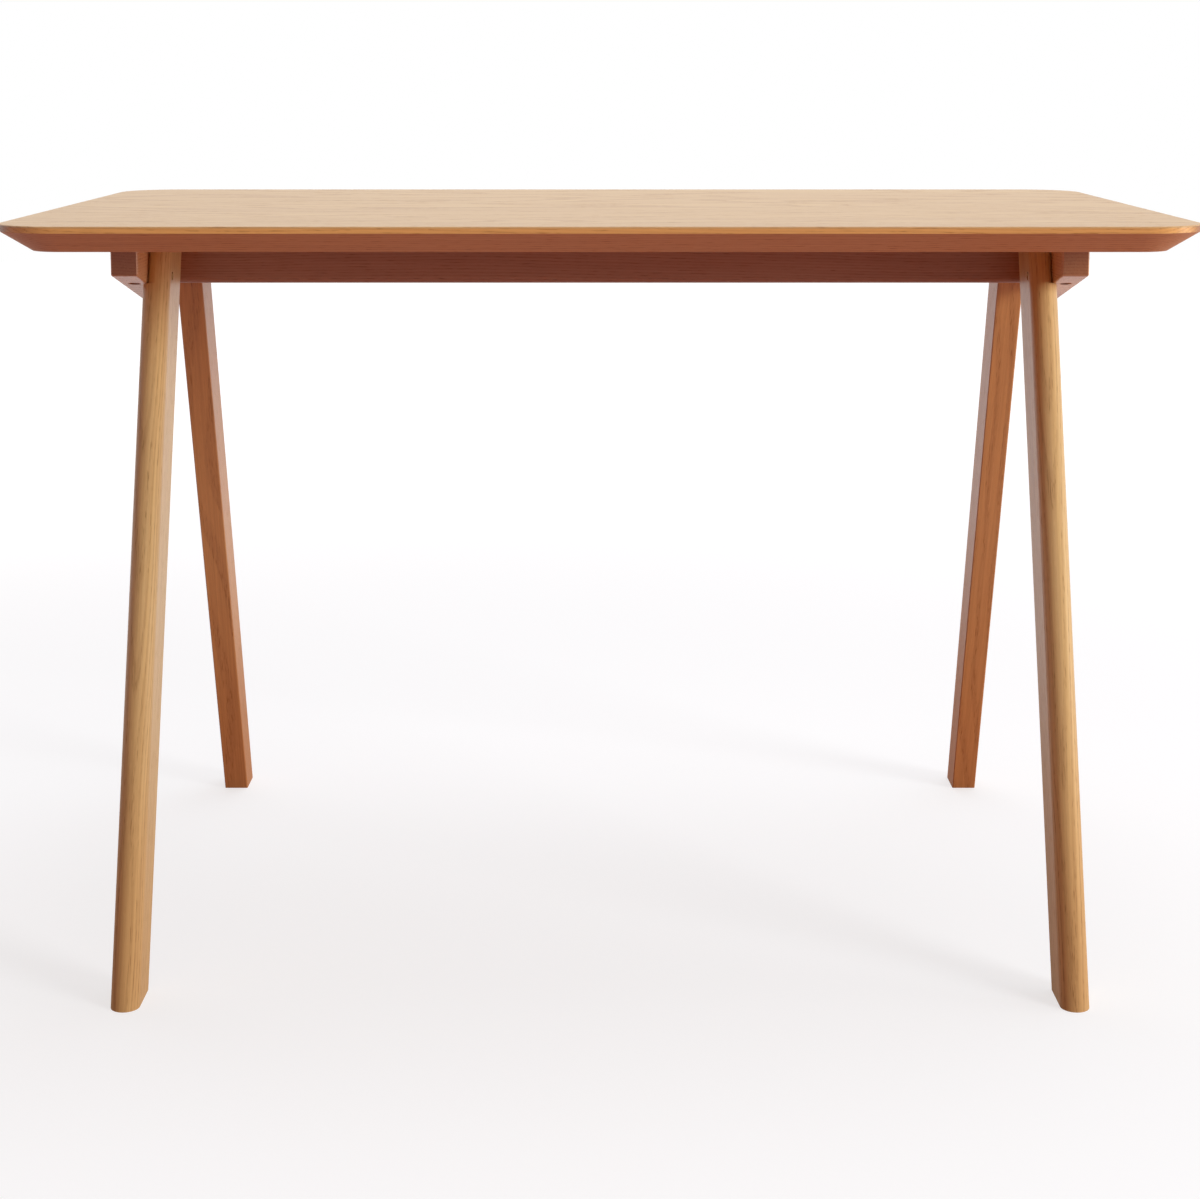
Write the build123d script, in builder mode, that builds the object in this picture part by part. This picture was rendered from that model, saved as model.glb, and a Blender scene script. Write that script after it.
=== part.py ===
"""Trestle desk in solid oak: a thin bevelled top on two splayed trestles joined by a stretcher.

The desk stands on the floor plane Z = 0 with its centre at X = Y = 0. X runs along the desk, Y from its
front (-Y) to its back (+Y). All sizes are in millimetres.
"""
from build123d import *
import math
import os

# ---------------------------------------------------------------- the desk as a whole
desk_length = 1150
desk_depth = 700
desk_height = 750

# ---------------------------------------------------------------- top
top_thickness = 26
edge_band = 6.5             # square edge left standing above the under-bevel
bevel_run = 31.5            # how far the under-bevel reaches in from the edge
underside_corner = 31.5     # plan radius of the corners where the bevel ends on the underside
top_ease = 0.8              # chamfer along the top's upper arris
board_count = 5             # boards glued edge to edge

# ---------------------------------------------------------------- trestles
bearer_inset = 82.5         # from the end of the top to the outer face of a bearer
bearer_length = 358
bearer_thickness = 27
bearer_end_depth = 35
bearer_middle_depth = 78    # under the ridge of the gable
bearer_ease = 1.2

leg_thickness = 28
housing_depth = 5.5         # how deep the bearer sits in the outer side of each leg
foot_spread = 769           # over the noses of the front and back feet
foot_width = 57.5           # from the flat inner face of a leg to its nose, at the floor
head_gap = 91               # between the flat faces of a pair of legs, under the top
head_width = 72.5           # from flat face to nose, under the top
nose_depth = 12.9           # how far the rounded edge stands out from a leg's flat sides
leg_ease = 1

stretcher_thickness = 26
stretcher_depth = 57
stretcher_round = 6         # along both lower edges
tenon_length = 10           # stub tenons on the ends of the stretcher
tenon_thickness = 15
tenon_shoulder = 10         # above and below each tenon

# ---------------------------------------------------------------- bolts and threaded inserts
fit_gap = 0.1               # round a thread, an insert or a tenon, and on each side of it
bolt_gap = 0.5              # round the plain shank of a bolt
recess_gap = 0.25           # round the head of a bolt
blind_gap = 0.5             # past the end of a bolt or insert, at the bottom of its hole
insert_wall = 2             # of a threaded insert
thread_taken = 10           # how far a bolt screws into its insert

leg_bolt = 5                # thread of the bolts that hold the legs
leg_bolt_head = 8.5
leg_bolt_head_height = 5
leg_bolt_key = 4
leg_bolt_socket = 3         # depth of the hexagon in the head
leg_bolt_recess_depth = 7
leg_bolt_drop = 40.5        # below the top's underside
leg_bolt_edge = 10          # in from the line where the rounded nose begins
leg_insert_length = 12

joint_bolt = 6              # thread of the bolts that hold the top and the stretcher
joint_bolt_head = 12.5
joint_bolt_head_height = 3
joint_bolt_key = 4
joint_bolt_socket = 2
top_bolt_grip = 22          # wood between a top bolt's head and the top
top_bolt_end = 51           # in from the end of a bearer
top_insert_length = 13

end_bolt_recess_depth = 6
barrel_nut = 10
barrel_nut_length = 16
barrel_nut_setback = 30     # from the shoulder of the stretcher
barrel_nut_tip = 3          # how far the bolt runs on past the nut

# ---------------------------------------------------------------- worked out from those
underside = desk_height - top_thickness
bearer_outer = desk_length / 2 - bearer_inset
bearer_inner = bearer_outer - bearer_thickness
bearer_middle = bearer_outer - bearer_thickness / 2
leg_outer = bearer_inner + housing_depth
leg_inner = leg_outer - leg_thickness
leg_middle = (leg_outer + leg_inner) / 2
stretcher_middle = underside - stretcher_depth / 2
tenon_depth = stretcher_depth - 2 * tenon_shoulder

ENDS = {"left": -1, "right": 1}
FACES = {"front": -1, "back": 1}
ABOVE = (Align.CENTER, Align.CENTER, Align.MIN)
BELOW = (Align.CENTER, Align.CENTER, Align.MAX)


def save(builder, name):
    builder.part.label = name
    export_step(builder.part, f"parts/{name}.step")


# ---------------------------------------------------------------- lines of the legs
def leg_flat_line(face):
    """The two ends of a leg's flat inner face, (Y, Z) at the floor and under the top."""
    return (face * (foot_spread / 2 - foot_width), 0), (face * head_gap / 2, underside)


def leg_nose_line(face):
    """The two ends of the crest of a leg's rounded edge, (Y, Z) at the floor and under the top."""
    return (face * foot_spread / 2, 0), (face * (head_gap / 2 + head_width), underside)


def plane_across(line, x):
    """Plane square to a line of a leg, with its origin at the line's foot and its local X along X."""
    (foot_y, foot_z), (head_y, head_z) = line
    return Plane(origin=(x, foot_y, foot_z), x_dir=(1, 0, 0), z_dir=(0, head_y - foot_y, head_z - foot_z))


def leg_bolt_spot(face):
    """(Y, Z) of the bolt through a leg, held at a fixed distance in from the leg's nose."""
    (foot_y, _), (head_y, head_z) = leg_nose_line(face)
    height = underside - leg_bolt_drop
    nose = foot_y + (head_y - foot_y) * height / head_z
    return nose - face * (nose_depth + leg_bolt_edge), height


# ---------------------------------------------------------------- where the bolts sit
def square_to_x(end, distance, spot, outward):
    """Plane at a distance along the desk, its normal towards that end of it (1) or the middle (-1)."""
    return Plane(origin=(end * distance, *spot), x_dir=(0, 1, 0), z_dir=(end * outward, 0, 0))


def leg_bolt_places(end, distance, outward):
    return [square_to_x(end, distance, leg_bolt_spot(face), outward) for face in FACES.values()]


def end_bolt_place(end, distance):
    return square_to_x(end, distance, (0, stretcher_middle), 1)


def facing_down(spots, height):
    """A plane looking down at the floor at each (X, Y) spot."""
    return [Plane(origin=(x, y, height), x_dir=(1, 0, 0), z_dir=(0, 0, -1)) for x, y in spots]


def bearer_top_bolts(end):
    """(X, Y) of the two bolts that hold the top to one bearer."""
    y = bearer_length / 2 - top_bolt_end
    return [(end * bearer_middle, face * y) for face in FACES.values()]


# ---------------------------------------------------------------- holes
def recessed_bolt_holes(surfaces, thread, head, recess_depth, grip):
    """Recess for a bolt's head and clearance hole for its shank, going down from each surface."""
    with Locations(*surfaces):
        CounterBoreHole(thread / 2 + bolt_gap, head / 2 + recess_gap, recess_depth, recess_depth + grip)


def blind_holes(surfaces, diameter, depth):
    with Locations(*surfaces):
        Hole(diameter / 2 + fit_gap, depth + blind_gap)


# ---------------------------------------------------------------- bolts and inserts
def hexagon_bolt(thread, head, head_height, key, socket, shank):
    """Bolt with a hexagon socket: it bears on the plane Z = 0, head above and shank below."""
    with BuildPart() as bolt:
        Cylinder(head / 2, head_height, align=ABOVE)
        Cylinder(thread / 2, shank, align=BELOW)
        with BuildSketch(Plane.XY.offset(head_height)):
            RegularPolygon(key / 2, 6, major_radius=False)
        extrude(amount=-socket, mode=Mode.SUBTRACT)
    return bolt.part


def leg_bolt_of(shank):
    return hexagon_bolt(
        leg_bolt, leg_bolt_head, leg_bolt_head_height, leg_bolt_key, leg_bolt_socket, shank
    )


def joint_bolt_of(shank):
    return hexagon_bolt(
        joint_bolt, joint_bolt_head, joint_bolt_head_height, joint_bolt_key, joint_bolt_socket, shank
    )


def threaded_insert(thread, length):
    """Plain sleeve standing on Z = 0."""
    with BuildPart() as insert:
        with BuildSketch():
            Circle(thread / 2 + fit_gap + insert_wall)
            Circle(thread / 2 + fit_gap, mode=Mode.SUBTRACT)
        extrude(amount=length)
    return insert.part


def insert_diameter(thread):
    return thread + 2 * (fit_gap + insert_wall)


def save_copies(shape, places, name):
    with BuildPart() as copies:
        with Locations(*places):
            add(shape)
    save(copies, name)


# ---------------------------------------------------------------- top
def make_boards():
    """The bevelled and rounded panel, divided along its glue lines into its boards."""
    with BuildPart() as panel:
        with BuildSketch(Plane.XY.offset(underside)):
            RectangleRounded(desk_length, desk_depth, underside_corner + bevel_run)
        extrude(amount=top_thickness)
        lower_face = panel.faces().sort_by(Axis.Z)[0]
        chamfer(lower_face.edges(), length=bevel_run, length2=top_thickness - edge_band, reference=lower_face)
        chamfer(panel.faces().sort_by(Axis.Z)[-1].edges(), length=top_ease)
        spots = bearer_top_bolts(-1) + bearer_top_bolts(1)
        blind_holes(facing_down(spots, underside), insert_diameter(joint_bolt), top_insert_length)

    board_width = desk_depth / board_count
    for number in range(board_count):
        with BuildPart() as board:
            add(panel.part)
            with Locations((0, -desk_depth / 2 + (number + 0.5) * board_width, underside)):
                Box(desk_length, board_width, top_thickness, align=ABOVE, mode=Mode.INTERSECT)
        save(board, f"top_board_{number + 1}")


# ---------------------------------------------------------------- trestles
def bearer_outline(end):
    """The gabled side view of a bearer, drawn on the plane of its inner face."""
    half = bearer_length / 2
    with BuildSketch(Plane.YZ.offset(end * bearer_inner)) as outline:
        with BuildLine():
            Polyline(
                (-half, underside),
                (-half, underside - bearer_end_depth),
                (0, underside - bearer_middle_depth),
                (half, underside - bearer_end_depth),
                (half, underside),
                close=True,
            )
        make_face()
    return outline.sketch


def make_bearer(end_name, end):
    with BuildPart() as bearer:
        extrude(bearer_outline(end), amount=end * bearer_thickness)
        top_face = bearer.faces().sort_by(Axis.Z)[-1]
        chamfer(bearer.edges() - top_face.edges(), length=bearer_ease)

        with BuildSketch(Plane.YZ.offset(end * bearer_inner)):
            with Locations((0, stretcher_middle)):
                Rectangle(tenon_thickness + 2 * fit_gap, tenon_depth + 2 * fit_gap)
        extrude(amount=end * (tenon_length + fit_gap), mode=Mode.SUBTRACT)

        blind_holes(
            leg_bolt_places(end, bearer_inner, -1), insert_diameter(leg_bolt), leg_insert_length
        )
        recessed_bolt_holes(
            [end_bolt_place(end, bearer_outer)],
            joint_bolt, joint_bolt_head, end_bolt_recess_depth, bearer_thickness,
        )
        recessed_bolt_holes(
            facing_down(bearer_top_bolts(end), underside - bearer_middle_depth),
            joint_bolt, joint_bolt_head, bearer_middle_depth - top_bolt_grip, top_bolt_grip,
        )
    save(bearer, f"bearer_{end_name}")


def head_relief(end, face, across):
    """What rounding the head takes off the outer half of its nose, so that it meets the bearer's inner face.

    The rounding follows the housing, so it stops at the shoulder under the bearer, and the leg's crest
    runs on without a step.
    """
    reach = end * (leg_thickness / 2 - housing_depth)
    depth = -face * nose_depth
    outside = end * leg_thickness
    eighth = math.radians(45)
    with BuildPart() as relief:
        with BuildSketch(across):
            with BuildLine():
                ThreePointArc(
                    (0, 0), (reach * math.sin(eighth), depth * (1 - math.cos(eighth))), (reach, depth)
                )
                Polyline((reach, depth), (outside, depth), (outside, -depth), (0, -depth), (0, 0))
            make_face()
        extrude(amount=foot_spread + underside, both=True)
        extrude(bearer_outline(end), amount=leg_thickness, both=True, mode=Mode.INTERSECT)
    return relief.part


def make_leg(end_name, end, face_name, face):
    """A bullnosed stave, tapered by its flat inner face, cut level at both ends and housed at the head."""
    (foot_y, _), (head_y, _) = leg_flat_line(face)
    flat = Plane(origin=(0, foot_y, 0), x_dir=(1, 0, 0), z_dir=(0, face * underside, face * (foot_y - head_y)))
    across = plane_across(leg_nose_line(face), end * leg_middle)
    half = leg_thickness / 2
    inwards = -face * (foot_width + head_width)
    beyond_both_ends = foot_spread + underside
    relief = head_relief(end, face, across)

    with BuildPart() as leg:
        with BuildSketch(across):
            with BuildLine():
                ThreePointArc((-half, -face * nose_depth), (0, 0), (half, -face * nose_depth))
                Polyline(
                    (half, -face * nose_depth), (half, inwards), (-half, inwards), (-half, -face * nose_depth)
                )
            make_face()
        extrude(amount=beyond_both_ends, both=True)
        split(bisect_by=flat, keep=Keep.TOP)
        split(bisect_by=Plane.XY, keep=Keep.TOP)
        split(bisect_by=Plane.XY.offset(underside), keep=Keep.BOTTOM)
        flat_face = leg.faces().filter_by(flat)[0]
        chamfer(flat_face.edges().filter_by(Axis.X, reverse=True), length=leg_ease)

        extrude(bearer_outline(end), amount=end * bearer_thickness, mode=Mode.SUBTRACT)
        add(relief, mode=Mode.SUBTRACT)
        recessed_bolt_holes(
            [square_to_x(end, leg_inner, leg_bolt_spot(face), -1)],
            leg_bolt, leg_bolt_head, leg_bolt_recess_depth, bearer_inner - leg_inner,
        )
    save(leg, f"leg_{face_name}_{end_name}")


def make_stretcher():
    with BuildPart() as stretcher:
        with BuildSketch(Plane.YZ) as profile:
            with Locations((0, underside)):
                Rectangle(stretcher_thickness, stretcher_depth, align=(Align.CENTER, Align.MAX))
            fillet(profile.vertices().group_by(Axis.Y)[0], radius=stretcher_round)
        extrude(amount=bearer_inner, both=True)
        with BuildSketch(Plane.YZ):
            with Locations((0, stretcher_middle)):
                Rectangle(tenon_thickness, tenon_depth)
        extrude(amount=bearer_inner + tenon_length, both=True)

        for end in ENDS.values():
            with Locations(end_bolt_place(end, bearer_inner + tenon_length)):
                Hole(
                    joint_bolt / 2 + bolt_gap,
                    tenon_length + barrel_nut_setback + barrel_nut / 2 + barrel_nut_tip + blind_gap,
                )
            nut_x = end * (bearer_inner - barrel_nut_setback)
            socket = Plane(
                origin=(nut_x, stretcher_thickness / 2, stretcher_middle), x_dir=(1, 0, 0), z_dir=(0, 1, 0)
            )
            blind_holes([socket], barrel_nut, (stretcher_thickness + barrel_nut_length) / 2)
    save(stretcher, "stretcher")


# ---------------------------------------------------------------- bolts, inserts and nuts in place
def make_leg_bolts(end_name, end):
    seats = leg_bolt_places(end, leg_inner + leg_bolt_recess_depth, -1)
    shank = bearer_inner - leg_inner - leg_bolt_recess_depth + thread_taken
    save_copies(leg_bolt_of(shank), seats, f"leg_bolts_{end_name}")
    insert = threaded_insert(leg_bolt, leg_insert_length)
    save_copies(insert, leg_bolt_places(end, bearer_inner, 1), f"leg_inserts_{end_name}")


def make_end_bolt(end_name, end):
    """Bolt through a bearer into the barrel nut that lies across the stretcher."""
    seat = end_bolt_place(end, bearer_outer - end_bolt_recess_depth)
    to_shoulder = bearer_thickness - end_bolt_recess_depth
    shank = to_shoulder + barrel_nut_setback + barrel_nut / 2 + barrel_nut_tip
    save_copies(joint_bolt_of(shank), [seat], f"stretcher_bolt_{end_name}")

    with BuildPart() as nut:
        Cylinder(barrel_nut / 2, barrel_nut_length, rotation=(90, 0, 0))
        with Locations(Plane.YZ.offset(barrel_nut)):
            Hole(joint_bolt / 2 + fit_gap, 2 * barrel_nut)
    nut_place = (end * (bearer_inner - barrel_nut_setback), 0, stretcher_middle)
    save_copies(nut.part, [nut_place], f"barrel_nut_{end_name}")


def make_top_bolts(end_name, end):
    spots = bearer_top_bolts(end)
    seats = facing_down(spots, underside - top_bolt_grip)
    save_copies(joint_bolt_of(top_bolt_grip + thread_taken), seats, f"top_bolts_{end_name}")
    insert = threaded_insert(joint_bolt, top_insert_length)
    save_copies(insert, [(x, y, underside) for x, y in spots], f"top_inserts_{end_name}")


os.makedirs("parts", exist_ok=True)

make_boards()
make_stretcher()
for end_name, end in ENDS.items():
    make_bearer(end_name, end)
    for face_name, face in FACES.items():
        make_leg(end_name, end, face_name, face)
    make_leg_bolts(end_name, end)
    make_end_bolt(end_name, end)
    make_top_bolts(end_name, end)
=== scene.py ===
"""Finishes of a solid oak trestle desk, and a plain studio to show it in.

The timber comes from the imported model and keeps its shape. Each piece gets oak whose growth rings, fibres and
pores run the way that piece would be sawn, and the bolts, nuts and inserts get their metals.
"""

import math

import bmesh
import bpy
from bpy.props import FloatProperty, FloatVectorProperty, PointerProperty
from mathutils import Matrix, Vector


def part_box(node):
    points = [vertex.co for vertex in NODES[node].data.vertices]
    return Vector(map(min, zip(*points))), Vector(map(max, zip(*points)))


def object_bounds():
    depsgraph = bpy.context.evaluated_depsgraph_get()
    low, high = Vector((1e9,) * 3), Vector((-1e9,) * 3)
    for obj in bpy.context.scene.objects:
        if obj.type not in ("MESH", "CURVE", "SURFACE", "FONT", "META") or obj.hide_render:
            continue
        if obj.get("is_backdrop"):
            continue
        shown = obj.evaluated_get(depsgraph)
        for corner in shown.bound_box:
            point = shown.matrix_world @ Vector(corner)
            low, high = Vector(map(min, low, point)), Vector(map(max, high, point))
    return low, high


bl_info = {
    "name": "Oak Trestle Desk",
    "version": (1, 0, 0),
    "blender": (4, 5, 0),
    "location": "View3D > Sidebar > Trestle Desk",
    "description": "Oiled oak, zinc plate and brass for a trestle desk, and a studio to show it in",
    "category": "Material",
}

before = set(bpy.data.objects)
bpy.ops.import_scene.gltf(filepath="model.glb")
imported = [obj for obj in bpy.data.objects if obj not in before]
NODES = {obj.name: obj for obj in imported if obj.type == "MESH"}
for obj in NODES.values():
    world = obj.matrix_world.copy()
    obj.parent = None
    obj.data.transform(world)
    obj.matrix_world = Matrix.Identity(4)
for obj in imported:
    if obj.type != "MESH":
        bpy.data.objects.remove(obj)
MM = 0.001

BOARDS = sorted(name for name in NODES if name.startswith("top_board"))
BEARERS = sorted(name for name in NODES if name.startswith("bearer"))
FRONT_LEGS = sorted(name for name in NODES if name.startswith("leg_front"))
BACK_LEGS = sorted(name for name in NODES if name.startswith("leg_back"))
STEEL = sorted(name for name in NODES if "bolt" in name or name.startswith("barrel_nut"))
BRASS = sorted(name for name in NODES if "inserts" in name)

ALONG_DESK = Vector((1, 0, 0))
ACROSS_DESK = Vector((0, 1, 0))

# Each piece is a numbered cut from the timber, so much further along the log and so much further up.
NEXT_ALONG_LOG = 1900 * MM
NEXT_UP_LOG = 370 * MM

# Where the pith of the log lies from the middle of a piece: along the grain, and the two ways across it.
BOARD_PITH = Vector((0, 10, -120)) * MM
RAIL_PITH = Vector((0, 90, 20)) * MM
BEARER_PITH = Vector((0, 20, 70)) * MM
LEG_PITH = Vector((0, 50, 60)) * MM


def linear(colour):
    """Linear red, green and blue of an sRGB hex colour."""
    channels = [int(colour[i:i + 2], 16) / 255 for i in (1, 3, 5)]
    return [c / 12.92 if c <= 0.04045 else ((c + 0.055) / 1.055) ** 2.4 for c in channels]


# ---------------------------------------------------------------- what a user may change
def colour_property(name, description, colour):
    return FloatVectorProperty(
        name=name, description=description, subtype="COLOR", size=3, min=0, max=1, default=linear(colour)
    )


def length_property(name, description, millimetres):
    return FloatProperty(
        name=name, description=description, subtype="DISTANCE", unit="LENGTH", min=0,
        default=millimetres * MM,
    )


def share_property(name, description, share):
    return FloatProperty(name=name, description=description, subtype="FACTOR", min=0, max=1, default=share)


def lamp_property(name, description, watts):
    return FloatProperty(name=name, description=description, subtype="POWER", unit="POWER", default=watts)


class DeskOakSettings(bpy.types.PropertyGroup):
    """Colours of the timber, and sizes of its figure"""

    # The top's own oak. It is not bleached: the deeper tones of its edge and underside below are painted shade.
    top_wood: colour_property("Top", "Oiled oak of the top, bleached by daylight", "#DDBB82")
    # Painted shade: the square edge is the top's oak in a more orange tone, for the shade on that face.
    painted_shade_edge_wood: colour_property("Edge", "The square edge of the top", "#EEBE74")
    # Painted shade: the bevel and underside are the top's oak in a darker, redder tone, for the shade under the
    # top.
    painted_shade_under_wood: colour_property("Under the top", "The bevel and underside, out of the daylight", "#C88E5D")
    # Partly painted highlight: the front legs' oak is made a little paler to stand in for the satin highlight
    # of the key lamp, which nothing mirrors.
    front_leg_oak_and_sheen: colour_property("Front legs", "Oiled oak of the front legs", "#E4C98F")
    # Painted shade: the back legs are the same oak as the front ones, given a darker, redder tone for the shade
    # on them.
    painted_shade_back_leg_wood: colour_property("Back legs", "Oiled oak of the back legs", "#D39D63")
    bearer_wood: colour_property("Bearers", "Oak of the bearers", "#E8BE90")
    # Painted shade: the rail is given a darker, redder oak for the shade under the top.
    painted_shade_rail_wood: colour_property("Rail", "Oak of the rail under the top", "#B48B77")
    pore_tint: colour_property("Pore tint", "What an open pore leaves of the wood's colour", "#AE9581")
    pore_strength: share_property("Pore strength", "How far the pores take on that tint", 0.48)

    ring_width: length_property("Ring width", "Width of one year's growth", 3.2)
    ring_reach: length_property("Ring reach", "How far a ring strays from a true circle", 22)
    stray_length: length_property("Stray length", "Length along the log over which a ring strays", 450)
    stray_width: length_property("Stray width", "Width across the log over which a ring strays", 110)
    pore_length: length_property("Pore length", "Length of an open pore along the grain", 14)
    pore_width: length_property("Pore width", "Width of an open pore, drawn coarse enough to show", 0.8)
    pore_depth: length_property("Pore depth", "How far the pores sink into the surface", 0.15)
    fibre_length: length_property("Fibre length", "Length of the fine streaks along the grain", 260)
    fibre_width: length_property("Fibre width", "Width of those streaks", 2.4)
    fleck_length: length_property("Fleck length", "Length of a pale ray fleck", 11)
    fleck_width: length_property("Fleck width", "Width of a ray fleck, drawn coarse enough to show", 1.6)
    drift_length: length_property("Drift length", "Length over which the tone of a board drifts", 900)
    drift_width: length_property("Drift width", "Width over which the tone of a board drifts", 55)

    polish: share_property("Polish", "Roughness of the oiled wood of the top, the rail and the bearers", 0.36)
    leg_polish: share_property("Leg polish", "Roughness of the oiled wood of the legs", 0.38)
    dulling: share_property("Dulling", "Roughness that open pores and unpolished wood add", 0.25)

    # Painted highlight: the top of the edge keeps the top's pale colour down to this depth, for the highlight
    # along the arris, not for bleaching.
    painted_highlight_depth: length_property("Bleached depth", "How far down the edge daylight has bleached it", 1.7)
    band_depth: length_property("Band depth", "Depth of the square edge above the bevel", 6.5)
    band_fade: length_property("Band fade", "Height over which a tone of the edge passes into the next", 0.8)
    # Painted shade: a leg darkens and reddens towards its foot, for the shade near the floor.
    foot_shade_height: length_property("Foot height", "Middle of the stretch where a leg darkens to its foot", 200)
    foot_shade_fade: length_property("Foot fade", "Height over which a leg darkens to its foot", 400)


class DeskMetalSettings(bpy.types.PropertyGroup):
    """Colours and finish of the metal parts"""

    zinc: colour_property("Zinc", "Bright zinc plate on steel", "#C4C6C8")
    zinc_mottle: length_property("Zinc mottle", "Size of the patches in the plate's sheen", 1.5)
    brass: colour_property("Brass", "Turned brass", "#D6B36A")
    brass_mottle: length_property("Brass mottle", "Size of the patches in the brass's sheen", 2)


class DeskStageSettings(bpy.types.PropertyGroup):
    """Floor, light and camera"""

    floor: colour_property("Floor", "Pale floor", "#A0A5AC")
    bounce: colour_property("Bounce", "Warm light that the floor sends up under the desk", "#AE5C38")
    floor_radius: length_property("Floor radius", "Radius of the round floor", 9000)
    near_lift: share_property("Near lift", "How far the floor is lifted to white round the desk", 0.68)
    far_lift: share_property("Far lift", "How far the floor is lifted to white away from it", 0.95)
    near_radius: length_property("Near radius", "Where the floor starts to go white", 800)
    far_radius: length_property("Far radius", "Where the floor ends going white", 4000)

    room_shade: colour_property("Room shade", "Light from the dim front of the room", "#FFAE89")
    room_dim: share_property("Room dim", "Strength of the light from the front of the room", 0.14)
    room_bright: share_property("Room bright", "Strength of the light from the back of the room", 0.9)

    key_power: lamp_property("Key", "Lamp at the right, in front", 255)
    low_power: lamp_property("Low", "Lamp low on the right", 11)
    fill_power: lamp_property("Fill", "Lamp in front", 6)
    top_power: lamp_property("Overhead", "Soft lamp overhead", 26)

    camera_distance: length_property("Camera distance", "From the middle of the desk", 2538.5)
    camera_height: length_property("Camera height", "Above the floor", 893.4)
    camera_pitch: FloatProperty(
        name="Camera pitch", description="Down from level", subtype="ANGLE", unit="ROTATION",
        default=math.radians(7.243),
    )
    lens: FloatProperty(
        name="Lens", description="Focal length", subtype="DISTANCE_CAMERA", unit="CAMERA", default=70.52
    )
    lens_rise: FloatProperty(
        name="Lens rise", description="Vertical shift of the lens, as a share of the frame", default=-0.191
    )


# Where each lamp stands, how wide it is and its colour. Its power is a setting.
LAMPS = {
    "key": ((5.4, -4.0, 2.3), 2.6, "#FFFDF6"),
    "low": ((2.8, -0.6, 0.45), 1.0, "#FFFCF4"),
    "fill": ((0.4, -3.0, 1.5), 1.2, "#FFEEDD"),
    "top": ((0.3, 0.6, 3.2), 2.4, "#FFFEFC"),
}
# The room is brightest this way, behind the desk and a little to the right.
WINDOW = (0.35, 0.94, 0)


# ---------------------------------------------------------------- nodes
def add_node(tree, kind, inputs=None, **settings):
    """Adds a node. An input is a value, a socket to link, or a node whose first live output is linked."""
    node = tree.nodes.new(kind)
    for name, value in settings.items():
        setattr(node, name, value)
    for name, value in (inputs or {}).items():
        if isinstance(value, bpy.types.Node):
            value = next(output for output in value.outputs if output.enabled)
        if isinstance(value, bpy.types.NodeSocket):
            tree.links.new(value, node.inputs[name])
        else:
            node.inputs[name].default_value = value
    return node


def new_material(name):
    """A material with an empty node tree, and that tree."""
    material = bpy.data.materials.new(name)
    material.use_nodes = True
    material.node_tree.nodes.clear()
    return material, material.node_tree


def streaks(tree, place, length, width, detail=2.0, roughness=0.5):
    """Noise drawn out along the grain, with streaks about that long and wide."""
    scaled = add_node(
        tree, "ShaderNodeVectorMath", {0: place, 1: (1 / length, 1 / width, 1 / width)}, operation="MULTIPLY"
    )
    return add_node(
        tree, "ShaderNodeTexNoise",
        {"Vector": scaled, "Scale": 1.0, "Detail": detail, "Roughness": roughness},
    )


# ---------------------------------------------------------------- oak
def growth(tree, place, pith, oak):
    """How much early wood there is, from 0 to 1. Rings are cylinders round the pith, one for each year."""
    # A tree doesn't grow quite round or straight, so the rings stray sideways as they run along the log.
    stray = streaks(tree, place, oak.stray_length, oak.stray_width, detail=1.5)
    centred = add_node(
        tree, "ShaderNodeVectorMath", {0: stray.outputs["Color"], 1: (0.5, 0.5, 0.5)}, operation="SUBTRACT"
    )
    strayed = add_node(
        tree, "ShaderNodeVectorMath", {0: centred, 1: (0, oak.ring_reach, oak.ring_reach), 2: place},
        operation="MULTIPLY_ADD",
    )
    from_pith = add_node(tree, "ShaderNodeVectorMath", {0: strayed, 1: pith}, operation="SUBTRACT")
    sideways = add_node(tree, "ShaderNodeVectorMath", {0: from_pith, 1: (0, 1, 1)}, operation="MULTIPLY")
    radius = add_node(tree, "ShaderNodeVectorMath", {0: sideways}, operation="LENGTH")
    year = add_node(tree, "ShaderNodeMath", {0: radius, 1: oak.ring_width}, operation="DIVIDE")
    season = add_node(tree, "ShaderNodeMath", {0: year}, operation="FRACT")

    # Early wood starts within the first tenth of a year and gives way to late wood round the middle of it.
    spring = add_node(
        tree, "ShaderNodeMapRange", {"Value": season, "From Min": 0.0, "From Max": 0.10},
        interpolation_type="SMOOTHSTEP",
    )
    summer = add_node(
        tree, "ShaderNodeMapRange",
        {"Value": season, "From Min": 0.28, "From Max": 0.55, "To Min": 1.0, "To Max": 0.0},
        interpolation_type="SMOOTHSTEP",
    )
    return add_node(tree, "ShaderNodeMath", {0: spring, 1: summer}, operation="MULTIPLY")


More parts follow.
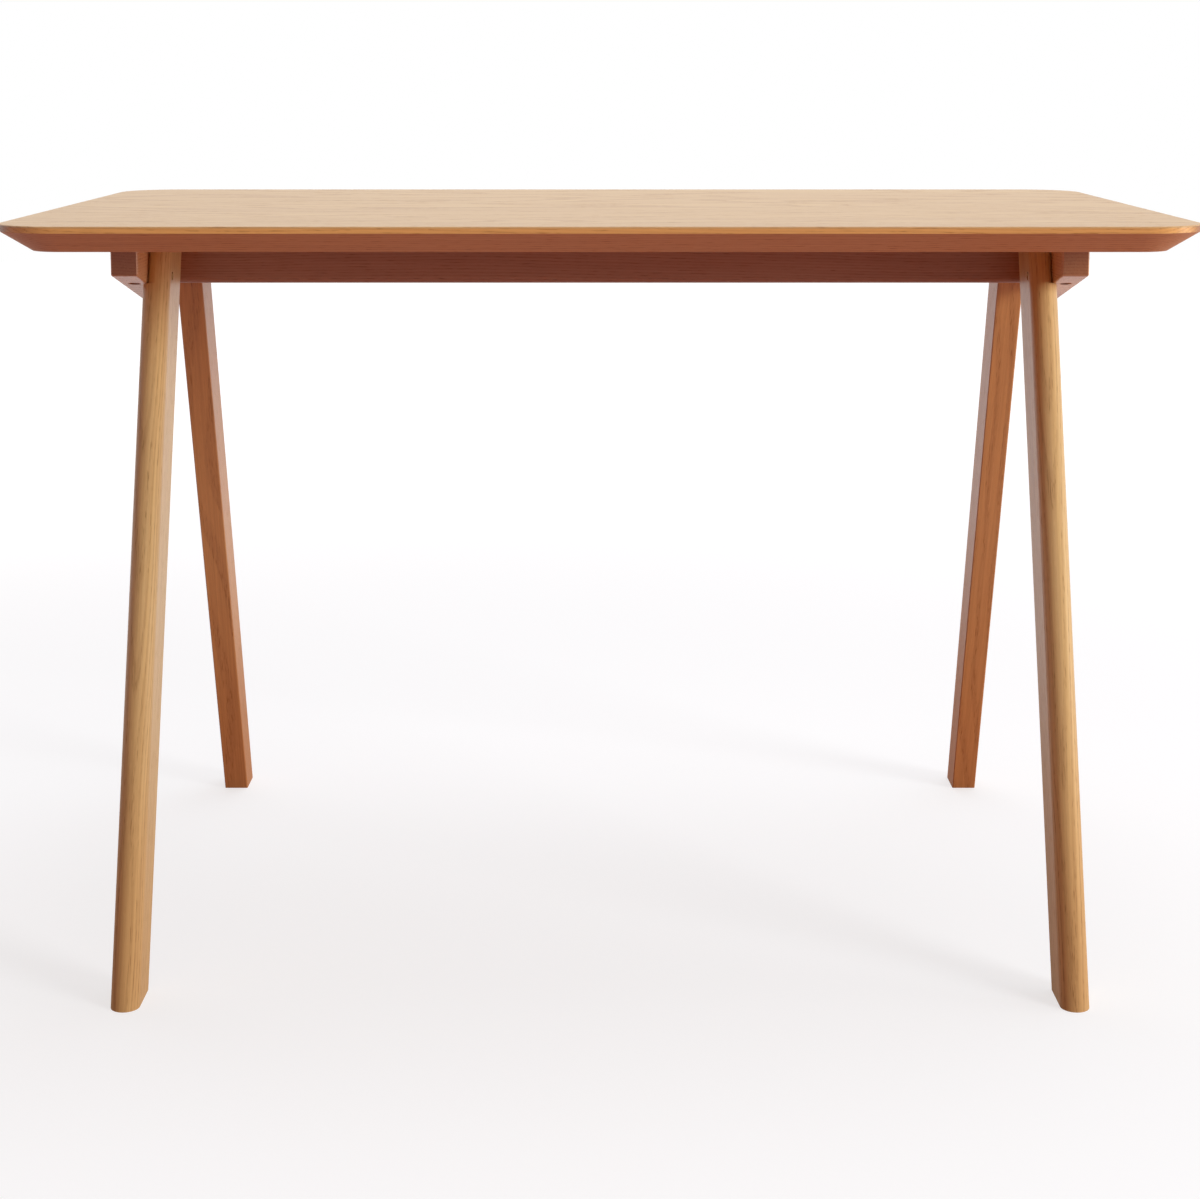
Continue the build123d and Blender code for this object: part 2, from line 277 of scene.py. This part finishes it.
def make_figure(oak):
    """The figure of oak, in the timber's own axes: X along the grain, Y and Z across it, in metres.

    Each ring starts with coarse open pores, so the early wood looks darker and a little sunken. Long fine
    fibres, short pale ray flecks and a slow drift of tone lie over the rings.
    """
    tree = bpy.data.node_groups.new("oak figure", "ShaderNodeTree")
    for name in ("Place", "Pith"):
        tree.interface.new_socket(name, in_out="INPUT", socket_type="NodeSocketVector")
    for name in ("Tone", "Pores", "Height"):
        tree.interface.new_socket(name, in_out="OUTPUT", socket_type="NodeSocketFloat")
    given = add_node(tree, "NodeGroupInput")
    place = given.outputs["Place"]
    early = growth(tree, place, given.outputs["Pith"], oak)

    # Pores crowd the early wood, and a few lie in the late wood too.
    pore_noise = streaks(tree, place, oak.pore_length, oak.pore_width, detail=1.0)
    open_pores = add_node(
        tree, "ShaderNodeMapRange", {"Value": pore_noise, "From Min": 0.54, "From Max": 0.70},
        interpolation_type="SMOOTHSTEP",
    )
    crowding = add_node(
        tree, "ShaderNodeMapRange", {"Value": early, "To Min": 0.22, "To Max": 1.0},
        interpolation_type="SMOOTHSTEP",
    )
    pores = add_node(tree, "ShaderNodeMath", {0: open_pores, 1: crowding}, operation="MULTIPLY")

    # The tone runs from 0, the palest wood, to about 1: early wood, fibres and drift darken it, flecks don't.
    fibres = add_node(
        tree, "ShaderNodeMapRange",
        {
            "Value": streaks(tree, place, oak.fibre_length, oak.fibre_width, detail=3.0, roughness=0.62),
            "From Min": 0.28, "From Max": 0.72, "To Max": 0.45,
        },
        interpolation_type="SMOOTHSTEP",
    )
    drift = add_node(
        tree, "ShaderNodeMapRange",
        {
            "Value": streaks(tree, place, oak.drift_length, oak.drift_width),
            "From Min": 0.25, "From Max": 0.75, "To Max": 0.25,
        },
        interpolation_type="SMOOTHSTEP",
    )
    flecks = add_node(
        tree, "ShaderNodeMapRange",
        {
            "Value": streaks(tree, place, oak.fleck_length, oak.fleck_width, detail=0.0),
            "From Min": 0.66, "From Max": 0.74, "To Max": 0.12,
        },
        interpolation_type="SMOOTHSTEP",
    )
    tone = add_node(tree, "ShaderNodeMath", {0: early, 1: 0.30, 2: fibres}, operation="MULTIPLY_ADD")
    tone = add_node(tree, "ShaderNodeMath", {0: tone, 1: drift}, operation="ADD")
    tone = add_node(tree, "ShaderNodeMath", {0: tone, 1: flecks}, operation="SUBTRACT")

    sunken_early = add_node(tree, "ShaderNodeMath", {0: early, 1: 0.2}, operation="MULTIPLY")
    sunken = add_node(tree, "ShaderNodeMath", {0: pores, 1: 0.8, 2: sunken_early}, operation="MULTIPLY_ADD")
    height = add_node(tree, "ShaderNodeMath", {0: 1.0, 1: sunken}, operation="SUBTRACT")
    add_node(tree, "NodeGroupOutput", {"Tone": tone, "Pores": pores, "Height": height})
    return tree


def grain_rotation(grain, run_out):
    """Turns the X axis to the grain, with the slight slope at which the saw crossed the rings."""
    turn = ALONG_DESK.rotation_difference(grain).to_euler()
    turn.rotate_axis("Y", math.radians(run_out))
    return turn


def deeper(colour, share, redder=0.0):
    """The same wood in a deeper tone: less light in all, and least in green and blue."""
    red, green, blue = colour[:3]
    return (red * share, green * share * (1 - redder), blue * share * (1 - 1.5 * redder), 1)


def tone_colours(tree, tone, wood, darkest):
    """The wood's colours, from its palest fibres to its darkest early wood.

    A Mix node takes its two colours as inputs 6 and 7.
    """
    return add_node(
        tree, "ShaderNodeMix", {0: tone, 6: (*wood[:3], 1), 7: deeper(wood, darkest, redder=0.12)},
        data_type="RGBA",
    )


def oiled_oak(oak, node_name, wood, grain, cut, pith, run_out, polish, specular=0.5, darkest=0.78, painted_shade_below=()):
    """Oiled oak of one piece: a satin skin that the open pores break, so they look darker and duller.

    grain is the unit vector along it, and run_out the slope of the saw's cut across it, in degrees.
    End grain drinks the oil and goes darker and redder. darkest is the share of the light that the darkest
    early wood keeps. painted_shade_below lists (wood, height, fade), the highest first: below that height the
    piece has that colour instead, as painted shade, and is less polished.
    """
    material, tree = new_material(f"oiled oak {node_name}")
    coordinates = add_node(tree, "ShaderNodeTexCoord")
    own_place = middle(node_name) + grain * (NEXT_ALONG_LOG * cut) + Vector((0, 0, NEXT_UP_LOG * cut))
    along_grain = add_node(
        tree, "ShaderNodeMapping",
        {
            "Vector": coordinates.outputs["Object"], "Location": own_place,
            "Rotation": grain_rotation(grain, run_out),
        },
        vector_type="TEXTURE",
    )
    figure = bpy.data.node_groups.get("oak figure") or make_figure(oak)
    timber = add_node(tree, "ShaderNodeGroup", node_tree=figure)
    tree.links.new(along_grain.outputs["Vector"], timber.inputs["Place"])
    timber.inputs["Pith"].default_value = pith
    tone, pores = timber.outputs["Tone"], timber.outputs["Pores"]

    colour = tone_colours(tree, tone, wood, darkest)
    unpolished = 0.0
    level = add_node(tree, "ShaderNodeSeparateXYZ", {0: coordinates.outputs["Object"]}).outputs["Z"]
    # Painted shade: below each listed height the piece takes that deeper tone instead of its own.
    for painted_shade_wood, height, fade in painted_shade_below:
        reach = {"Value": level, "From Min": height - fade / 2, "From Max": height + fade / 2}
        above = add_node(tree, "ShaderNodeMapRange", reach, interpolation_type="SMOOTHSTEP")
        unpolished = add_node(
            tree, "ShaderNodeMapRange", {**reach, "To Min": oak.dulling, "To Max": 0.0},
            interpolation_type="SMOOTHSTEP",
        )
        painted_shade_colour = tone_colours(tree, tone, painted_shade_wood, darkest)
        colour = add_node(tree, "ShaderNodeMix", {0: above, 6: painted_shade_colour, 7: colour}, data_type="RGBA")

    facing_grain = add_node(
        tree, "ShaderNodeVectorMath", {0: coordinates.outputs["Normal"], 1: grain}, operation="DOT_PRODUCT"
    )
    either_end = add_node(tree, "ShaderNodeMath", {0: facing_grain}, operation="ABSOLUTE")
    end_grain = add_node(
        tree, "ShaderNodeMapRange", {"Value": either_end, "From Min": 0.6, "From Max": 0.9},
        interpolation_type="SMOOTHSTEP",
    )
    soaked = deeper((1, 1, 1), 0.45, redder=0.3)
    colour = add_node(
        tree, "ShaderNodeMix", {0: end_grain, 6: colour, 7: soaked}, data_type="RGBA", blend_type="MULTIPLY"
    )
    pore_share = add_node(tree, "ShaderNodeMath", {0: pores, 1: oak.pore_strength}, operation="MULTIPLY")
    colour = add_node(
        tree, "ShaderNodeMix", {0: pore_share, 6: colour, 7: (*oak.pore_tint, 1)},
        data_type="RGBA", blend_type="MULTIPLY",
    )

    relief = add_node(
        tree, "ShaderNodeBump",
        {"Strength": 0.35, "Distance": oak.pore_depth, "Height": timber.outputs["Height"]},
    )
    satin = add_node(
        tree, "ShaderNodeMapRange", {"Value": pores, "To Min": polish, "To Max": polish + oak.dulling},
        interpolation_type="SMOOTHSTEP",
    )
    roughness = add_node(tree, "ShaderNodeMath", {0: satin, 1: unpolished}, operation="ADD")
    skin = add_node(
        tree, "ShaderNodeBsdfPrincipled",
        {
            "Base Color": colour, "Roughness": roughness, "Normal": relief,
            "IOR": 1.5, "Specular IOR Level": specular,
        },
    )
    add_node(tree, "ShaderNodeOutputMaterial", {"Surface": skin})
    return material


def dress(node_name, material):
    """Gives a piece of the model its one material."""
    mesh = NODES[node_name].data
    mesh.materials.clear()
    mesh.materials.append(material)


def middle(node_name):
    low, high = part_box(node_name)
    return (low + high) / 2


def leg_grain(node_name):
    """Unit vector up a leg, from the middle of its foot to the middle of its head."""
    points = [vertex.co for vertex in NODES[node_name].data.vertices]
    low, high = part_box(node_name)
    ends = []
    for level in (low.z, high.z):
        at_end = [point.y for point in points if abs(point.z - level) < MM]
        ends.append(Vector((0, (min(at_end) + max(at_end)) / 2, level)))
    return (ends[1] - ends[0]).normalized()


class DESK_OT_finish_top(bpy.types.Operator):
    """Gives the boards of the top their oiled oak, each sawn from another part of the log"""

    bl_idname = "desk.finish_top"
    bl_label = "Finish the top"

    def execute(self, context):
        oak = context.scene.desk_oak
        top_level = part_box(BOARDS[0])[1].z
        # Painted highlight and painted shade: the edge keeps the top's pale colour for a thin strip under the
        # arris, a painted highlight. Below that it takes a more orange tone, and the bevel and underside a
        # darker, redder one, both painted shade.
        painted_shade_below = (
            (oak.painted_shade_edge_wood, top_level - oak.painted_highlight_depth, oak.band_fade),
            (oak.painted_shade_under_wood, top_level - oak.band_depth, oak.band_fade),
        )
        for number, name in enumerate(BOARDS):
            # Neighbours are turned over, so that they cup opposite ways.
            side = -1 if number % 2 else 1
            material = oiled_oak(
                oak, name, oak.top_wood, ALONG_DESK, cut=number, pith=BOARD_PITH * side,
                run_out=0.9 * side, polish=oak.polish, painted_shade_below=painted_shade_below,
            )
            dress(name, material)
        return {"FINISHED"}


class DESK_OT_finish_rail(bpy.types.Operator):
    """Gives the rail under the top its oak, with the grain along it"""

    bl_idname = "desk.finish_rail"
    bl_label = "Finish the rail"

    def execute(self, context):
        oak = context.scene.desk_oak
        material = oiled_oak(
            oak, "stretcher", oak.painted_shade_rail_wood, ALONG_DESK, cut=7, pith=RAIL_PITH, run_out=0.5,
            polish=oak.polish, specular=0.3,
        )
        dress("stretcher", material)
        return {"FINISHED"}


class DESK_OT_finish_bearers(bpy.types.Operator):
    """Gives the bearers their oak, with the grain from front to back"""

    bl_idname = "desk.finish_bearers"
    bl_label = "Finish the bearers"

    def execute(self, context):
        oak = context.scene.desk_oak
        for number, name in enumerate(BEARERS):
            material = oiled_oak(
                oak, name, oak.bearer_wood, ACROSS_DESK, cut=9 + number, pith=BEARER_PITH, run_out=0.6,
                polish=oak.polish,
            )
            dress(name, material)
        return {"FINISHED"}


class DESK_OT_finish_legs(bpy.types.Operator):
    """Gives the legs their oak, with the grain up each leg, and painted shade that darkens and reddens each leg
    towards its foot
    """

    bl_idname = "desk.finish_legs"
    bl_label = "Finish the legs"

    def execute(self, context):
        oak = context.scene.desk_oak
        for number, name in enumerate(FRONT_LEGS + BACK_LEGS):
            # The back legs' oak is a darker, redder copy, painted shade. The front legs' oak is a paler one
            # that also stands in for a satin highlight, a painted highlight.
            wood = oak.front_leg_oak_and_sheen if name in FRONT_LEGS else oak.painted_shade_back_leg_wood
            # Painted shade: each leg darkens and reddens towards its foot.
            foot = (deeper(wood, 0.89, redder=0.13), oak.foot_shade_height, oak.foot_shade_fade)
            material = oiled_oak(
                oak, name, wood, leg_grain(name), cut=12 + number, pith=LEG_PITH, run_out=0.7,
                polish=oak.leg_polish, darkest=0.70, painted_shade_below=(foot,),
            )
            dress(name, material)
        return {"FINISHED"}


# ---------------------------------------------------------------- metal
def bright_metal(name, colour, roughness, mottle_size):
    """Bright metal whose sheen varies a little from place to place, as plating and turning leave it."""
    material, tree = new_material(name)
    where = add_node(tree, "ShaderNodeTexCoord").outputs["Object"]
    mottle = streaks(tree, where, mottle_size, mottle_size)
    tint = add_node(
        tree, "ShaderNodeMix", {0: mottle, 6: (*colour[:3], 1), 7: deeper(colour, 0.86)}, data_type="RGBA"
    )
    sheen = add_node(
        tree, "ShaderNodeMapRange",
        {"Value": mottle, "From Min": 0.3, "From Max": 0.7, "To Min": roughness, "To Max": roughness + 0.12},
        interpolation_type="SMOOTHSTEP",
    )
    skin = add_node(
        tree, "ShaderNodeBsdfPrincipled", {"Base Color": tint, "Roughness": sheen, "Metallic": 1.0}
    )
    add_node(tree, "ShaderNodeOutputMaterial", {"Surface": skin})
    return material


class DESK_OT_finish_fasteners(bpy.types.Operator):
    """Gives the bolts and nuts zinc plate, and the threaded inserts brass"""

    bl_idname = "desk.finish_fasteners"
    bl_label = "Finish the fasteners"

    def execute(self, context):
        metals = context.scene.desk_metal
        zinc = bright_metal("zinc-plated steel", metals.zinc, 0.30, metals.zinc_mottle)
        brass = bright_metal("turned brass", metals.brass, 0.25, metals.brass_mottle)
        for name in STEEL:
            dress(name, zinc)
        for name in BRASS:
            dress(name, brass)
        return {"FINISHED"}


# ---------------------------------------------------------------- stage
def hang_lamp(scene, name, power, target):
    """A soft lamp. The key lamp, low and strong, would glare in the top, so nothing mirrors it."""
    place, width, colour = LAMPS[name]
    lamp = bpy.data.lights.new(f"{name} lamp", "AREA")
    lamp.shape = "DISK"
    lamp.size = width
    lamp.energy = power
    lamp.color = linear(colour)
    stand = bpy.data.objects.new(f"{name} lamp", lamp)
    stand.location = place
    stand.rotation_euler = (target - Vector(place)).to_track_quat("-Z", "Y").to_euler()
    stand.visible_glossy = name != "key"
    scene.collection.objects.link(stand)


def seen_or_mirrored(tree):
    """1 for light that reaches the eye, straight or by a mirror or glass, and 0 for light on the desk."""
    rays = add_node(tree, "ShaderNodeLightPath")
    seen = add_node(
        tree, "ShaderNodeMath", {0: rays.outputs["Is Camera Ray"], 1: rays.outputs["Is Glossy Ray"]},
        operation="MAXIMUM",
    )
    return add_node(
        tree, "ShaderNodeMath", {0: seen, 1: rays.outputs["Is Transmission Ray"]}, operation="MAXIMUM"
    )


def pale_floor(stage):
    """Matt pale floor. To the eye it is lifted to white, and it keeps the shadow of the desk."""
    material, tree = new_material("matt pale floor")
    seen = seen_or_mirrored(tree)
    paint = add_node(
        tree, "ShaderNodeMix", {0: seen, 6: (*stage.bounce, 1), 7: (*stage.floor, 1)}, data_type="RGBA"
    )
    matt = add_node(tree, "ShaderNodeBsdfDiffuse", {"Color": paint})
    where = add_node(tree, "ShaderNodeTexCoord").outputs["Object"]
    lift = add_node(
        tree, "ShaderNodeMapRange",
        {
            "Value": add_node(tree, "ShaderNodeVectorMath", {0: where}, operation="LENGTH"),
            "From Min": stage.near_radius, "From Max": stage.far_radius,
            "To Min": stage.near_lift, "To Max": stage.far_lift,
        },
        interpolation_type="SMOOTHSTEP",
    )
    seen_lift = add_node(tree, "ShaderNodeMath", {0: seen, 1: lift}, operation="MULTIPLY")
    glow = add_node(tree, "ShaderNodeEmission", {"Color": (1, 1, 1, 1), "Strength": seen_lift})
    both = add_node(tree, "ShaderNodeAddShader", {0: matt, 1: glow})
    add_node(tree, "ShaderNodeOutputMaterial", {"Surface": both})
    return material


def soft_room(stage):
    """A room that is bright behind the desk and dim in front, and plain white to the eye."""
    world = bpy.data.worlds.new("soft room")
    world.use_nodes = True
    tree = world.node_tree
    tree.nodes.clear()
    direction = add_node(tree, "ShaderNodeTexCoord").outputs["Generated"]
    to_window = add_node(tree, "ShaderNodeVectorMath", {0: direction, 1: WINDOW}, operation="DOT_PRODUCT")
    nearness = add_node(
        tree, "ShaderNodeMapRange", {"Value": to_window, "From Min": -0.5, "From Max": 0.7},
        interpolation_type="SMOOTHSTEP",
    )
    colour = add_node(
        tree, "ShaderNodeMix", {0: nearness, 6: (*stage.room_shade, 1), 7: (1, 1, 1, 1)}, data_type="RGBA"
    )
    strength = add_node(
        tree, "ShaderNodeMapRange",
        {"Value": nearness, "To Min": stage.room_dim, "To Max": stage.room_bright},
        interpolation_type="SMOOTHSTEP",
    )
    light = add_node(tree, "ShaderNodeBackground", {"Color": colour, "Strength": strength})
    white = add_node(tree, "ShaderNodeBackground", {"Color": (1, 1, 1, 1), "Strength": 1.0})
    mixed = add_node(tree, "ShaderNodeMixShader", {0: seen_or_mirrored(tree), 1: light, 2: white})
    add_node(tree, "ShaderNodeOutputWorld", {"Surface": mixed})
    return world


class DESK_OT_build_stage(bpy.types.Operator):
    """Lays the floor, hangs the lamps and sets up the camera"""

    bl_idname = "desk.build_stage"
    bl_label = "Build the stage"

    def execute(self, context):
        scene = context.scene
        stage = scene.desk_stage

        shape = bmesh.new()
        bmesh.ops.create_circle(shape, cap_ends=True, segments=96, radius=stage.floor_radius)
        mesh = bpy.data.meshes.new("floor")
        shape.to_mesh(mesh)
        shape.free()
        mesh.materials.append(pale_floor(stage))
        floor = bpy.data.objects.new("floor", mesh)
        scene.collection.objects.link(floor)
        floor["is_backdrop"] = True

        low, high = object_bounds()
        for name in LAMPS:
            hang_lamp(scene, name, getattr(stage, f"{name}_power"), (low + high) / 2)
        scene.world = soft_room(stage)

        camera = bpy.data.cameras.new("camera")
        camera.lens = stage.lens
        camera.sensor_width = 36
        camera.shift_y = stage.lens_rise
        tripod = bpy.data.objects.new("camera", camera)
        tripod.location = (0, -stage.camera_distance, stage.camera_height)
        tripod.rotation_euler = (math.pi / 2 - stage.camera_pitch, 0, 0)
        scene.collection.objects.link(tripod)
        scene.camera = tripod
        scene.view_settings.view_transform = "Standard"
        return {"FINISHED"}


# ---------------------------------------------------------------- add-on
STEPS = (
    DESK_OT_finish_top,
    DESK_OT_finish_rail,
    DESK_OT_finish_bearers,
    DESK_OT_finish_legs,
    DESK_OT_finish_fasteners,
    DESK_OT_build_stage,
)
SETTINGS = {"desk_oak": DeskOakSettings, "desk_metal": DeskMetalSettings, "desk_stage": DeskStageSettings}


class DESK_PT_sidebar(bpy.types.Panel):
    """Lists the settings of the desk and the steps that finish it"""

    bl_idname = "DESK_PT_sidebar"
    bl_label = "Trestle Desk"
    bl_space_type = "VIEW_3D"
    bl_region_type = "UI"
    bl_category = "Trestle Desk"

    def draw(self, context):
        for group_name, group in SETTINGS.items():
            box = self.layout.box()
            for setting in group.__annotations__:
                box.prop(getattr(context.scene, group_name), setting)
        for step in STEPS:
            self.layout.operator(step.bl_idname)


def register():
    for group_name, group in SETTINGS.items():
        bpy.utils.register_class(group)
        setattr(bpy.types.Scene, group_name, PointerProperty(type=group))
    for step in STEPS:
        bpy.utils.register_class(step)
    bpy.utils.register_class(DESK_PT_sidebar)


def unregister():
    bpy.utils.unregister_class(DESK_PT_sidebar)
    for step in reversed(STEPS):
        bpy.utils.unregister_class(step)
    for group_name, group in SETTINGS.items():
        delattr(bpy.types.Scene, group_name)
        bpy.utils.unregister_class(group)


def main():
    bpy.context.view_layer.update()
    register()
    for step in STEPS:
        area, name = step.bl_idname.split(".")
        getattr(getattr(bpy.ops, area), name)()


if __name__ == "__main__":
    main()
